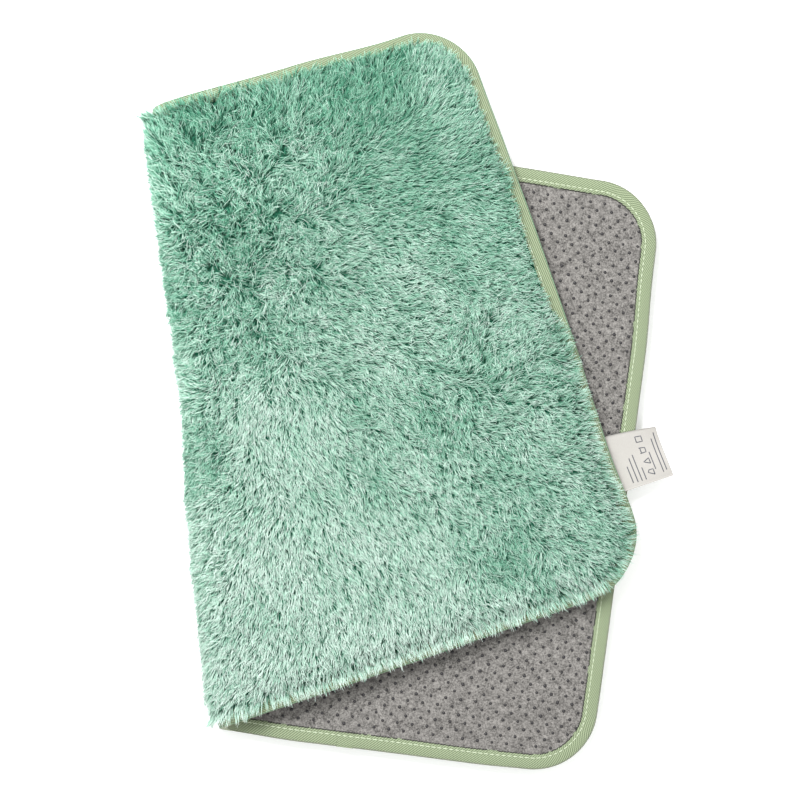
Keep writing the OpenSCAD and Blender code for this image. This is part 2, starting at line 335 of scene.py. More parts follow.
def mesh_from_arrays(name, points, faces, flat_shaded=False):
    """A mesh from arrays; faces is a list of index arrays, one for each number of corners."""
    mesh = bpy.data.meshes.new(name)
    mesh.vertices.add(len(points))
    mesh.vertices.foreach_set("co", np.ascontiguousarray(points, np.float32).ravel())
    corners = np.concatenate([f.ravel() for f in faces])
    sizes = np.concatenate([np.full(len(f), f.shape[1]) for f in faces])
    mesh.loops.add(len(corners))
    mesh.loops.foreach_set("vertex_index", corners.astype(np.int32))
    mesh.polygons.add(len(sizes))
    starts = np.concatenate([[0], np.cumsum(sizes)[:-1]])
    mesh.polygons.foreach_set("loop_start", starts.astype(np.int32))
    mesh.update(calc_edges=True)
    mesh.validate()
    if not flat_shaded:
        mesh.polygons.foreach_set("use_smooth", np.ones(len(mesh.polygons), bool))
    return mesh


def add_uv(mesh, u, v, name="cloth"):
    """A UV map from two values at each point."""
    layer = mesh.uv_layers.new(name=name)
    index = np.empty(len(mesh.loops), np.int32)
    mesh.loops.foreach_get("vertex_index", index)
    values = np.stack([np.ravel(u)[index], np.ravel(v)[index]], -1)
    layer.data.foreach_set("uv", values.astype(np.float32).ravel())


def add_colour(mesh, name, colours):
    attribute = mesh.color_attributes.new(name, "FLOAT_COLOR", "POINT")
    full = np.ones((len(colours), 4), np.float32)
    full[:, :3] = colours
    attribute.data.foreach_set("color", full.ravel())


def grid_faces(rows, columns, closed=False):
    """Quads of a rows by columns grid of points, closed joins the last column to the first."""
    i, j = np.meshgrid(np.arange(rows - 1), np.arange(columns - (not closed)), indexing="ij")
    i, j = i.ravel(), j.ravel()
    k = (j + 1) % columns
    return np.stack([i * columns + j, i * columns + k, (i + 1) * columns + k, (i + 1) * columns + j], -1)


def facing_out(points, faces):
    """Turns the faces of closed pieces round if their insides face out."""
    volume = 0
    for f in faces:
        a = points[f[:, 0]]
        for k in range(1, f.shape[1] - 1):
            volume += np.einsum("ij,ij->", a, np.cross(points[f[:, k]], points[f[:, k + 1]]))
    return faces if volume > 0 else [f[:, ::-1] for f in faces]


def between(first, second):
    """Points and faces of a closed sheet between two matching grids of points."""
    rows, columns = first.shape[:2]
    count = rows * columns
    points = np.concatenate([first.reshape(-1, 3), second.reshape(-1, 3)])
    quads = grid_faces(rows, columns)
    index = np.arange(count).reshape(rows, columns)
    rim = np.concatenate([index[0, :-1], index[:-1, -1], index[-1, :0:-1], index[:0:-1, 0]])
    after = np.roll(rim, -1)
    wall = np.stack([rim, rim + count, after + count, after], -1)
    faces = np.concatenate([quads, quads[:, ::-1] + count, wall[:, ::-1]])
    return points, facing_out(points, [faces])


# ---------------------------------------------------------------- outlines of the regions

REGIONS = ("lower", "fold_near", "fold_far", "flap")
BODY = {"lower": "lower_half", "flap": "flap"}


def region_span(region):
    """The stretch of s, the distance across the fold, that a region covers."""
    return {
        "lower": (BEND, None),
        "fold_near": (0, BEND),
        "fold_far": (-BEND, 0),
        "flap": (None, -BEND),
    }[region]


def u_at(s, v):
    """Where the line at distance s from the fold crosses row v."""
    return (s - v * math.sin(FOLD_SKEW)) / math.cos(FOLD_SKEW)


def region_grid(region, inset, step):
    """Flat points that cover a region inside the outline at the given inset."""
    half = HALF_W - inset
    r = CORNER_R - inset
    if region in BODY:
        turn = np.linspace(0, math.pi / 2, 12)
        bottom = -(half - r) - r * np.cos(turn)
        middle = np.linspace(-(half - r), half - r, int(2 * (half - r) / step))[1:-1]
        v = np.concatenate([bottom, middle, -bottom[::-1]])
        side = 1 if region == "lower" else -1
        past = np.maximum(np.abs(v) - (half - r), 0)
        end = EDGE_U[side] - side * inset - side * (r - np.sqrt(np.maximum(r * r - past * past, 0)))
        start = u_at(side * BEND, v)
        count = int(300 * MM / step)
    else:
        v = np.linspace(-half, half, int(2 * half / step))
        low, high = region_span(region)
        start, end = u_at(high, v), u_at(low, v)
        count = 12
    share = np.linspace(0, 1, count)
    return start[:, None] + (end - start)[:, None] * share, np.repeat(v[:, None], count, 1)


def outline_path(region, inset, steps=1.0):
    """Points along the edge of a region at an inset: one list for each stretch of edge, with the
    number of points the same at any inset. Each row is (u, v, inward u, inward v)."""
    half = HALF_W - inset
    r = CORNER_R - inset
    if region not in BODY:
        low, high = region_span(region)
        s = np.linspace(high, low, int(13 * steps) + 2)
        return [
            np.stack([u_at(s, e * half), np.full_like(s, e * half), 0 * s, 0 * s - e], -1)
            for e in (-1, 1)
        ]
    side = 1 if region == "lower" else -1
    end = EDGE_U[side] - side * inset
    long_count = int(150 * steps) + 2
    short_count = int(190 * steps) + 2
    arc_count = int(36 * steps) + 2
    rows = []
    for e in (-1, 1):
        u = np.linspace(u_at(side * BEND, e * half), end - side * r, long_count)
        stretch = np.stack([u, np.full_like(u, e * half), 0 * u, 0 * u - e], -1)
        a = np.linspace(0, math.pi / 2, arc_count)
        arc = np.stack(
            [
                end - side * r + side * r * np.sin(a),
                e * (half - r) + e * r * np.cos(a),
                -side * np.sin(a),
                -e * np.cos(a),
            ],
            -1,
        )
        rows.append((stretch[:-1], arc))
    v = np.linspace(-(half - r), half - r, short_count)
    across = np.stack([0 * v + end, v, 0 * v - side, 0 * v], -1)[1:-1]
    (first, arc1), (last, arc2) = rows
    return [np.concatenate([first, arc1, across, arc2[::-1], last[::-1]])]


# ---------------------------------------------------------------- materials


class Nodes:
    """A short way to write a material's node tree."""

    def __init__(self, name):
        self.material = bpy.data.materials.new(name)
        self.material.use_nodes = True
        self.tree = self.material.node_tree
        self.shader = self.tree.nodes["Principled BSDF"]

    def add(self, kind, **settings):
        node = self.tree.nodes.new("ShaderNode" + kind)
        for key, value in settings.items():
            setattr(node, key, value)
        return node

    def join(self, source, target):
        self.tree.links.new(source, target)

    def set(self, **values):
        for key, value in values.items():
            self.shader.inputs[key.replace("_", " ")].default_value = value

    def math(self, operation, a, b=None, clamp=False):
        node = self.add("Math", operation=operation, use_clamp=clamp)
        for k, value in enumerate(x for x in (a, b) if x is not None):
            if isinstance(value, (int, float)):
                node.inputs[k].default_value = value
            else:
                self.join(value, node.inputs[k])
        return node.outputs[0]

    def noise(self, vector, scale, detail=2.0, roughness=0.5):
        node = self.add("TexNoise")
        node.inputs["Scale"].default_value = scale
        node.inputs["Detail"].default_value = detail
        node.inputs["Roughness"].default_value = roughness
        self.join(vector, node.inputs["Vector"])
        return node.outputs["Fac"]

    def ramp(self, value, stops):
        node = self.add("ValToRGB")
        for k, (place, colour) in enumerate(stops):
            element = node.color_ramp.elements[k] if k < 2 else node.color_ramp.elements.new(place)
            element.position = place
            element.color = (*colour, 1)
        self.join(value, node.inputs["Fac"])
        return node.outputs["Color"]

    def mix(self, share, a, b, blend="MIX"):
        node = self.add("Mix", data_type="RGBA", blend_type=blend)
        for key, value in ((0, share), (6, a), (7, b)):
            if isinstance(value, (int, float)):
                node.inputs[key].default_value = value
            elif isinstance(value, tuple):
                node.inputs[key].default_value = (*value, 1)
            else:
                self.join(value, node.inputs[key])
        return node.outputs[2]

    def bump(self, height, distance, strength=1.0):
        node = self.add("Bump")
        node.inputs["Distance"].default_value = distance
        node.inputs["Strength"].default_value = strength
        self.join(height, node.inputs["Height"])
        self.join(node.outputs["Normal"], self.shader.inputs["Normal"])

    def colour(self, output):
        self.join(output, self.shader.inputs["Base Color"])


def from_srgb(r, g, b):
    def one(x):
        x /= 255
        return x / 12.92 if x <= 0.04045 else ((x + 0.055) / 1.055) ** 2.4

    return (one(r), one(g), one(b))


def grained_material(name, noise, colours, bump=None, **settings):
    """One noise (scale, detail, roughness) between two colours, which can also raise the surface."""
    n = Nodes(name)
    grain = n.noise(n.add("TexCoord").outputs["Object"], *noise)
    n.colour(n.mix(grain, *(from_srgb(*colour) for colour in colours)))
    if bump:
        n.bump(grain, *bump)
    n.set(**settings)
    return n.material


def felt_material():
    n = Nodes("felt")
    place = n.add("TexCoord").outputs["Object"]
    fine = n.noise(place, 900, 3, 0.7)
    coarse = n.noise(place, 230, 3, 0.6)
    cloud = n.noise(place, 14, 2)
    mottle = n.math("ADD", n.math("MULTIPLY", fine, 0.68), n.math("MULTIPLY", coarse, 0.32))
    tone = n.ramp(mottle, [(0.36, from_srgb(32, 31, 30)), (0.66, from_srgb(153, 150, 146))])
    tone = n.mix(n.math("MULTIPLY", cloud, 0.35), tone, from_srgb(108, 105, 102))
    n.colour(tone)
    n.bump(mottle, 0.5 * MM, 0.8)
    n.set(Roughness=0.95, Specular_IOR_Level=0.15, Sheen_Weight=0.15)
    return n.material


TWILL_PITCH = 2.0 * MM
LIP_SHADE = 0.9 * MM  # width of the painted shadow under the tape's lip, along the skirt that lies on the felt


def twill_material():
    """Diagonal twill, from a UV map in metres: x along the tape, y across it."""
    n = Nodes("twill_tape")
    uv = n.add("UVMap", uv_map="cloth").outputs["UV"]
    parts = n.add("SeparateXYZ")
    n.join(uv, parts.inputs[0])
    x, y = parts.outputs[0], parts.outputs[1]
    place = n.add("TexCoord").outputs["Object"]
    wobble = n.math("MULTIPLY", n.noise(place, 500, 2), 0.35 * MM)
    slant = n.math("ADD", n.math("ADD", x, n.math("MULTIPLY", y, 1.15)), wobble)
    rib = n.math("SINE", n.math("MULTIPLY", slant, 2 * math.pi / TWILL_PITCH))
    thread = n.math("SINE", n.math("MULTIPLY", x, 4 * math.pi / TWILL_PITCH))
    height = n.math("ADD", n.math("MULTIPLY", rib, 0.32), n.math("MULTIPLY", thread, 0.12))
    height = n.math("ADD", height, 0.5)
    fade = n.noise(place, 45, 3)
    # Partly painted shade: the colour follows the rib height, which is the weave's own pattern, with the
    # valleys darkened as painted shade
    tone = n.ramp(height, [(0.1, from_srgb(62, 74, 52)), (0.9, from_srgb(160, 173, 141))])
    tone = n.mix(n.math("MULTIPLY", fade, 0.25), tone, from_srgb(130, 142, 112))
    # Painted shadow: the first LIP_SHADE across the tape, the skirt on the felt, turns dark in noisy dashes
    # for the shade under the lip
    lip_shadow = n.math("LESS_THAN", y, LIP_SHADE)
    shadow_dashes = n.math("GREATER_THAN", n.noise(place, 160, 2), 0.4)
    n.colour(n.mix(n.math("MULTIPLY", lip_shadow, shadow_dashes), tone, from_srgb(46, 46, 40)))
    n.bump(height, 0.22 * MM, 0.9)
    n.set(Roughness=0.85, Specular_IOR_Level=0.2, Sheen_Weight=0.2)
    return n.material


def under_pile_material():
    n = Nodes("plush_depth")
    place = n.add("TexCoord").outputs["Object"]
    tufts = n.noise(place, 420, 3, 0.65)
    # Painted shade: the dense mass is coloured far darker than the fibres above it, for the shade deep in
    # the pile
    n.colour(n.ramp(tufts, [(0.3, from_srgb(12, 50, 38)), (0.7, from_srgb(52, 116, 90))]))
    n.bump(tufts, 1.2 * MM, 1.0)
    n.set(Roughness=0.95, Specular_IOR_Level=0.05)
    return n.material


def pile_material():
    """Fibre colour comes from the strands' colour attribute: the fibres' mint with painted shade and sheen,
    darker towards the roots and in shaded fibres, near white on the palest tips.
    """
    n = Nodes("plush_fibre")
    colour = n.add("VertexColor", layer_name="fibre").outputs["Color"]
    n.colour(colour)
    n.set(Roughness=0.6, Specular_IOR_Level=0.2, Sheen_Weight=0.06, Sheen_Roughness=0.5)
    n.shader.inputs["Sheen Tint"].default_value = (0.85, 1, 0.93, 1)
    return n.material


MATERIALS = {
    "felt": felt_material(),
    "grip_rubber": grained_material(
        "grip_rubber", (1500, 2), ((30, 29, 31), (52, 50, 52)), (0.08 * MM, 0.5),
        Roughness=0.5, Specular_IOR_Level=0.4,
    ),
    "binding_tape": twill_material(),
    "thread": grained_material(
        "sewing_thread", (1800, 1), ((168, 180, 150), (208, 218, 194)), (0.1 * MM, 0.6),
        Roughness=0.6, Specular_IOR_Level=0.3,
    ),
    "label_satin": grained_material(
        "label_satin", (2200, 1), ((158, 155, 150), (178, 175, 170)), (0.05 * MM, 0.5),
        Roughness=0.42, Specular_IOR_Level=0.35, Sheen_Weight=0.2,
    ),
    "label_ink": grained_material(
        "label_ink", (1500, 1), ((58, 60, 66), (98, 102, 108)),
        Roughness=0.7,
    ),
    "ground_fabric": grained_material(
        "knitted_ground", (700, 2), ((60, 112, 88), (98, 158, 130)), (0.3 * MM, 0.7),
        Roughness=0.95, Specular_IOR_Level=0.1,
    ),
    "foam": grained_material(
        "foam", (1100, 2, 0.7), ((214, 206, 180), (240, 235, 215)), (0.3 * MM, 0.7),
        Roughness=0.95, Specular_IOR_Level=0.1,
    ),
    "pile": pile_material(),
    "under_pile": under_pile_material(),
}

# ---------------------------------------------------------------- riding and bending


def set_moving(piece, region):
    """Rides a piece on its body; a piece on the fold stays where it was made, with its place baked into its
    mesh."""
    if region in BODY:
        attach(piece, BODY[region])
        return
    if region == "fold_near":
        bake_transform(piece)
    else:
        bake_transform(piece)


def node_of(region, layer):
    prefix = "fold" if region.startswith("fold") else region
    return f"{prefix}_{layer}"


def make_layer(region, layer, low, high, step, slot_name):
    u, v = region_grid(region, TAPE_T, step)
    mesh = mesh_from_arrays(f"{region}_{layer}", *between(bend(u, v, low), bend(u, v, high)))
    piece = link(f"{region}_{layer}_sheet", mesh, MATERIALS[slot_name])
    set_moving(piece, region)
    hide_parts(node_of(region, layer))
    if layer == "foam_core":
        return


LAYERS = (
    ("felt_backing", 0, FELT_T, 4 * MM, "felt"),
    ("foam_core", FELT_T, FELT_T + FOAM_T, 8 * MM, "foam"),
    ("ground_fabric", FELT_T + FOAM_T, BASE_T, 8 * MM, "ground_fabric"),
)
for region in REGIONS:
    for layer in LAYERS:
        make_layer(region, *layer)

# ---------------------------------------------------------------- edge binding


def tape_profile():
    """The tape's section round the edge, as a closed ring of (inset, n) points: the outer face
    from the felt's side to the pile's side, then the inner face back."""
    # Painted shadow: the first point makes a skirt, LIP_SHADE wide, that lies on the felt beyond the lip and
    # is coloured as the shadow under it
    felt_side = [
        (TAPE_W + LIP_SHADE, 0.0), (TAPE_W, -0.12 * MM),
        (TAPE_W - 0.5 * MM, -0.62 * MM), (TAPE_W - 1.2 * MM, -0.72 * MM),
        (TAPE_W - STITCH_INSET, -0.46 * MM), (TAPE_W - 3.4 * MM, -0.72 * MM),
        (5.6 * MM, -0.85 * MM), (3.6 * MM, -0.72 * MM), (1.8 * MM, -0.32 * MM),
    ]
    turn = [
        (1.0 * MM - 1.2 * MM * math.sin(a), BASE_T / 2 - (BASE_T / 2 + 0.1 * MM) * math.cos(a))
        for a in np.linspace(0.3, math.pi - 0.3, 8)
    ]
    pile_side = [(x, BASE_T - n) for x, n in felt_side[::-1]]
    outer = felt_side + turn + pile_side
    inner = [
        (x + TAPE_T * (x < 1.2 * MM), n + (TAPE_T if n < BASE_T / 2 else -TAPE_T) * (x > 0.3 * MM))
        for x, n in outer[1:-1]
    ]
    return outer + inner[::-1]


def path_length(path):
    step = np.hypot(np.diff(path[:, 0]), np.diff(path[:, 1]))
    return np.concatenate([[0], np.cumsum(step)])


def pucker(along):
    """Small pull of the stitches on the tape, from 0 to 1, once a stitch."""
    return 0.5 - 0.5 * np.cos(2 * math.pi * along / STITCH_PITCH)


PUCKER = 0.3 * MM


def make_binding(region):
    profile = tape_profile()
    across = np.concatenate([[0], np.cumsum([math.dist(a, b) for a, b in zip(profile, profile[1:])])])
    steps = 4 if region in BODY else 3
    points, faces, uv, offset = [], [], [], 0
    for k, base in enumerate(outline_path(region, TAPE_W - STITCH_INSET, steps)):
        along = path_length(base)
        rings = []
        for inset, n in profile:
            path = outline_path(region, max(inset, 0), steps)[k]
            near_stitch = math.exp(-(((inset - TAPE_W + STITCH_INSET) / (1.6 * MM)) ** 2))
            outward = -1 if n < BASE_T / 2 else 1
            lift = outward * PUCKER * (0.4 - pucker(along)) * near_stitch
            drift = 0.2 * MM * wave(path[:, :2], 37 * MM, 5) * (inset > TAPE_W / 2)
            drift += 0.3 * MM * pucker(along) * (inset > TAPE_W - 1 * MM)
            rings.append(bend(path[:, 0] + path[:, 2] * drift, path[:, 1] + path[:, 3] * drift, n + lift))
        block = np.stack(rings, 1)
        rows, count = block.shape[:2]
        quads = grid_faces(rows, count, closed=True)
        ends = np.array([range(count), range((rows - 1) * count, rows * count)])
        ends[1] = ends[1, ::-1]
        block = block.reshape(-1, 3)
        found = facing_out(block, [quads, ends[:, ::-1]])
        points.append(block)
        faces += [f + offset for f in found]
        uv.append(np.stack(np.broadcast_arrays(along[:, None], across[None]), -1).reshape(-1, 2))
        offset += rows * count
    quads = [f for f in faces if f.shape[1] == 4]
    ends = [f for f in faces if f.shape[1] != 4]
    mesh = mesh_from_arrays(f"{region}_tape", np.concatenate(points), quads + ends)
    uv = np.concatenate(uv)
    add_uv(mesh, uv[:, 0], uv[:, 1])
    piece = link(f"{region}_edge_tape", mesh, MATERIALS["binding_tape"])
    set_moving(piece, region)
    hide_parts(node_of(region, "edge_binding"))


for region in REGIONS:
    make_binding(region)

# ---------------------------------------------------------------- stitches


def tube(centres, radius, sides, out):
    """Closed round tubes along rows of points: centres is (tubes, rings, 3), radius (rings,),
    and out a direction for each tube that the rings start from."""
    tubes, rings = centres.shape[:2]
    tangent = np.gradient(centres, axis=1)
    tangent /= np.linalg.norm(tangent, axis=-1, keepdims=True) + 1e-12
    side = np.cross(tangent, out[:, None, :])
    side /= np.linalg.norm(side, axis=-1, keepdims=True) + 1e-12
    other = np.cross(side, tangent)
    a = np.linspace(0, 2 * math.pi, sides, endpoint=False)
    ring = (
        side[:, :, None, :] * np.cos(a)[None, None, :, None]
        + other[:, :, None, :] * np.sin(a)[None, None, :, None]
    )
    radius = np.broadcast_to(radius, (tubes, rings))
    points = centres[:, :, None, :] + ring * radius[:, :, None, None]
    start = (np.arange(tubes) * rings * sides)[:, None]
    quads = grid_faces(rings, sides, closed=True)
    walls = (start[:, :, None] + quads[None]).reshape(-1, 4)
    first = start + np.arange(sides)[None, ::-1]
    last = start + (rings - 1) * sides + np.arange(sides)[None]
    points = points.reshape(-1, 3)
    return points, facing_out(points, [walls, np.concatenate([first, last])])


def overlap_rise(along):
    """Height of the tape's end over its start: a slope at one end and a step at the other."""
    return 0.55 * MM * smooth((along + 0.5) * 1.6) * smooth((0.5 - along) * 14)


STITCH_SHARE = 0.78  # of the pitch that a stitch shows
STITCH_SHAPE = 0.36 * MM * np.array([0.5, 0.85, 1, 1, 1, 0.85, 0.5])


def make_stitches(region):
    spots = []
    for path in outline_path(region, TAPE_W - STITCH_INSET, 6):
        along = path_length(path)
        count = max(int(along[-1] / STITCH_PITCH), 1)
        at = (np.arange(count) + 0.5) * along[-1] / count
        for side, n in ((0, -0.5 * MM), (1, BASE_T + 0.5 * MM)):
            t = np.linspace(-0.5, 0.5, 7)
            place = at[:, None] + t * STITCH_SHARE * STITCH_PITCH
            u = np.interp(place, along, path[:, 0])
            v = np.interp(place, along, path[:, 1])
            arch = 0.34 * MM * np.cos(t * math.pi) ** 0.6
            out = -1 if side == 0 else 1
            if region == "lower" and side == 0:
                from_overlap = (u - FOLD_FROM_EDGE + OVERLAP_FROM_CORNER) / OVERLAP_L
                arch = arch + overlap_rise(from_overlap) * (v < 0)
            spots.append(bend(u, v, n + out * (arch - 0.12 * MM)))
    centres = np.concatenate(spots)
    out = np.broadcast_to(UP, (len(centres), 3))
    if region not in BODY:
        out = np.broadcast_to(ALONG, (len(centres), 3))
    points, faces = tube(centres, STITCH_SHAPE, 6, out)
    mesh = mesh_from_arrays(f"{region}_stitches", points, faces)
    piece = link(f"{region}_edge_stitches", mesh, MATERIALS["thread"])
    set_moving(piece, region)
    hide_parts(node_of(region, "stitching"))


for region in REGIONS:
    make_stitches(region)

# ---------------------------------------------------------------- grip dots


def dot_spots():
    rows = int(MAT_W / DOT_ROW / 2) + 1
    columns = int(MAT_L / DOT_PITCH) + 1
    j, i = np.meshgrid(np.arange(-rows, rows + 1), np.arange(-columns, columns + 1), indexing="ij")
    u = (i + np.where(j % 2 == 0, 0, 0.5)) * DOT_PITCH
    v = j * DOT_ROW
    inside = edge_distance(u, v) > TAPE_W + DOT_D / 2 + 0.3 * MM
    return u[inside], v[inside]


def make_dots(region, u, v):
    sides, rings = 8, 4
    size = random.uniform(0.92, 1.18, len(u))
    a = np.linspace(0, 2 * math.pi, sides, endpoint=False)
    lift = np.array([0.0, 0.45, 0.85, 1.0])
    spread = np.array([1.0, 0.93, 0.62, 0.0])
    r = DOT_D / 2 * size[:, None, None] * spread[None, :, None]
    du = r * np.cos(a) + random.normal(0, 0.06 * MM, (len(u), 1, 1))
    dv = r * np.sin(a) + random.normal(0, 0.06 * MM, (len(u), 1, 1))
    n = -DOT_H * lift[None, :, None] + np.zeros_like(du)
    n[:, 0] = 0.05 * MM
    points = bend(u[:, None, None] + du, v[:, None, None] + dv, n)
    points = points.reshape(len(u), rings * sides, 3)[:, : (rings - 1) * sides + 1]
    per = (rings - 1) * sides + 1
    walls = grid_faces(rings - 1, sides, closed=True)
    ring = (rings - 2) * sides + np.arange(sides)
    cap = np.stack([ring, np.roll(ring, -1), np.full(sides, per - 1)], -1)
    start = (np.arange(len(u)) * per)[:, None, None]
    base = (np.arange(sides)[None, None] + start).reshape(-1, sides)
    faces = [(walls[None] + start).reshape(-1, 4), (cap[None] + start).reshape(-1, 3), base[:, ::-1]]
    points = points.reshape(-1, 3)
    mesh = mesh_from_arrays(f"{region}_dots", points, facing_out(points, faces))
    piece = link(f"{region}_rubber_dots", mesh, MATERIALS["grip_rubber"])
    set_moving(piece, region)
    if region in BODY:
        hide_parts(f"{region}_grip_dots")


dots_u, dots_v = dot_spots()
dots_s = across_fold(dots_u, dots_v)
for region in REGIONS:
    low, high = region_span(region)
    margin = DOT_D / 2
    chosen = np.ones(len(dots_s), bool)
    if low is not None:
        chosen &= dots_s > low + margin
    if high is not None:
        chosen &= dots_s < high - margin
    make_dots(region, dots_u[chosen], dots_v[chosen])

# ---------------------------------------------------------------- pile

# Patches of the pile: (u mm, v mm, lean in degrees seen from above with the flap closed, 0 along +X
# and 90 along +Y, how tousled 0 to 1, tone -1 dark to 1 light, how upright). Places and leans are
# listed one by one; tones were corrected after measuring how light the object is at each place.
# Painted sheen and shade: the tone column makes the pile paler where it lies smooth and darker where tufts
# open
PATCHES = (
    (-25, 205, 150, 0.5, -0.4, 0.2), (-70, 205, 118, 0.4, -0.9, 0.2), (-135, 205, 95, 0.3, -0.8, 0.2),
    (-205, 195, 90, 0.3, -1.0, 0.2), (-262, 170, 68, 0.2, 0.2, 0.1), (-25, 165, 155, 0.6, -0.2, 0.3),
    (-60, 112, 190, 1.0, -0.4, 0.5), (-30, 85, 208, 0.9, -0.4, 0.4), (-99, 153, 105, 0.8, -0.4, 0.4),
    (-130, 140, 55, 0.5, 0.0, 0.3), (-175, 164, 75, 0.4, -0.8, 0.2), (-115, 100, 5, 0.6, 0.2, 0.3),
    (-150, 82, -5, 0.2, 0.1, 0.1), (-85, 65, -55, 0.7, 0.1, 0.3), (-10, 30, 190, 0.4, 0.5, 0.2),
    (2, -20, 235, 0.7, -0.4, 0.3), (-40, 35, 260, 0.6, -0.2, 0.3), (-45, -15, -85, 0.2, 1.1, 0.0),
    (-80, -40, -55, 0.1, 0.8, 0.0), (-20, -105, -90, 0.1, 1.1, 0.0), (-65, -125, -55, 0.1, 0.9, 0.0),
    (10, -90, 225, 0.3, 0.8, 0.2), (25, -185, 250, 0.2, 1.1, 0.1), (-15, -195, -80, 0.1, 1.1, 0.0),
    (-60, -190, -70, 0.1, 1.2, 0.0), (-105, -198, -70, 0.1, 1.3, 0.1), (-160, -200, -65, 0.2, 1.0, 0.2),
    (-215, -200, -55, 0.2, 0.6, 0.2), (-265, -190, -15, 0.2, 0.3, 0.3), (-265, -115, 5, 0.2, 0.5, 0.5),
    (-264, -49, 15, 0.5, 0.3, 0.3), (-215, -20, 65, 0.6, 0.3, 0.3), (-260, 10, 0, 0.2, 0.4, 0.4),
    (-262, 95, 15, 0.2, 0.0, 0.3), (-238, 70, -10, 0.1, -0.2, 0.2), (-205, 120, 5, 0.1, -0.4, 0.3),
    (-170, 35, -10, 0.2, 0.5, 0.4), (-171, -54, -55, 0.4, -0.2, 0.3), (-140, -30, -35, 0.2, 0.4, 0.4),
    (-150, -100, -45, 0.2, 0.5, 0.4), (-186, -162, -55, 0.4, -0.3, 0.2), (-200, -100, -35, 0.2, 0.2, 0.5),
    (-130, 20, -15, 0.2, 0.4, 0.3), (-105, -50, -40, 0.3, 0.1, 0.2), (-250, 130, 40, 0.1, -0.2, 0.3),
    (-110, -130, -50, 0.1, 0.8, 0.2), (-230, -150, -30, 0.2, 0.2, 0.5), (-82, 98, 20, 1.0, -0.3, 0.8),
)
PATCH_REACH = 30 * MM


def patch_values(u, v):
    """Blends the patches at flat points: lean direction (x, y), tousle, tone and uprightness."""
    spots = np.array(PATCHES, float)
    lean = np.radians(spots[:, 2])
    facts = np.stack([np.cos(lean), np.sin(lean), spots[:, 3], spots[:, 4], spots[:, 5]], -1)
    total = np.zeros((len(u), facts.shape[1]))
    weights = np.zeros(len(u))
    for (pu, pv), fact in zip(spots[:, :2] * MM, facts):
        away = ((u - pu) ** 2 + (v - pv) ** 2) / PATCH_REACH**2
        weight = 1 / (0.05 + away**1.6)
        total += weight[:, None] * fact
        weights += weight
    total /= weights[:, None]
    place = np.stack([u, v], -1)
    for axis, seed in ((0, 21), (1, 27)):
        total[:, axis] += 1.1 * total[:, 2] * wave(place, 48 * MM, seed)
    length = np.hypot(total[:, 0], total[:, 1])[:, None]
    total[:, 4] += 0.5 * np.clip(1 - 1.3 * length[:, 0], 0, 1)
    total[:, :2] /= np.maximum(length, 0.3)
    return total


# Painted light and shade: roots are darker than tips for the shade deep in the pile, and tips run from
# TIP_DARK in shade to TIP_PALE in sheen
ROOT_DARK = np.array(from_srgb(16, 66, 50))
ROOT_PALE = np.array(from_srgb(84, 152, 124))
TIP_DARK = np.array(from_srgb(96, 174, 142))
TIP_MID = np.array(from_srgb(182, 228, 206))
TIP_PALE = np.array(from_srgb(240, 255, 247))

# Painted shade: some fibres take a dark colour to the tip, for the shadow between neighbouring fibres
SHADOW_TIP = np.array(from_srgb(44, 104, 80))
SHADOW_SHARE = 0.07
SHADOW_SHARE_TOUSLED = 0.16

LOCK_SPACING = 2.05 * MM
STRANDS_PER_LOCK = 4
STRAND_LENGTH = 9.0 * MM
STRAND_WIDTH = 0.5 * MM
PILE_INSET = 9.0 * MM
EDGE_ROWS = 8 * MM  # the outer rows of pile lean out over the tape
EDGE_LONGER = 0.65
BARE_TAPE = 5 * MM  # where more tape than this shows, the outer rows don't lean out
RINGS = 3
SIDES = 3
TRIANGLES_PER_STRAND = SIDES * 2 * (RINGS - 1) + 2 * (SIDES - 2)
TRIANGLES_PER_PIECE = 190000
STRANDS_PER_PIECE = TRIANGLES_PER_PIECE // TRIANGLES_PER_STRAND


def under_height(u, v, facts=None):
    """Height of the dense fibre mass that the visible tips stand on, above the ground fabric."""
    s = across_fold(u, v)
    off_fold = smooth((np.abs(s) - BEND) / (45 * MM))
    full = np.where(s > 0, 7.0 * MM, 8.5 * MM)
    height = 5.0 * MM + (full - 5.0 * MM) * off_fold
    place = np.stack([u, v], -1)
    height = height + (0.5 * wave(place, 34 * MM, 4) + 0.4 * wave(place, 17 * MM, 9)) * MM * off_fold
    if facts is not None:
        height = height - 2.6 * MM * facts[..., 2] * np.where(s > 0, 0, 1)
    return 0.3 * MM + (height - 0.3 * MM) * smooth((edge_distance(u, v) - PILE_INSET) / (17 * MM))


def tape_showing(u, v):
    """How far the pile's tips keep inside the mat's outline, along its three free edges."""
    top = np.interp(u, np.array([-230, -150, -90, -20]) * MM, np.array([9.5, 5.0, 1.5, -2.0]) * MM)
    side = np.interp(
        v,
        np.array([-215, -170, -110, -95, -70, -23, -8, 18, 49, 85, 96, 118, 160, 215]) * MM,
        np.array([-1.0, -0.7, 0.6, 2.0, 0.0, -1.0, 8.5, 11.5, 11.0, 7.5, 2.0, 9.0, 9.0, 9.0]) * MM,
    )
    near = np.stack([HALF_W - v, u - EDGE_U[-1], v + HALF_W], -1)
    weight = 1 / (np.maximum(near, 1 * MM) ** 2)
    values = np.stack([top, side, np.full_like(u, -3.5 * MM)], -1)
    free = (weight * values).sum(-1) / weight.sum(-1)
    free = free + 1.3 * MM * wave(np.stack([u, v], -1), 13 * MM, 7)
    return np.where(across_fold(u, v) > 0, 3 * MM, free)


CLUMP_SIZE = 6.5 * MM


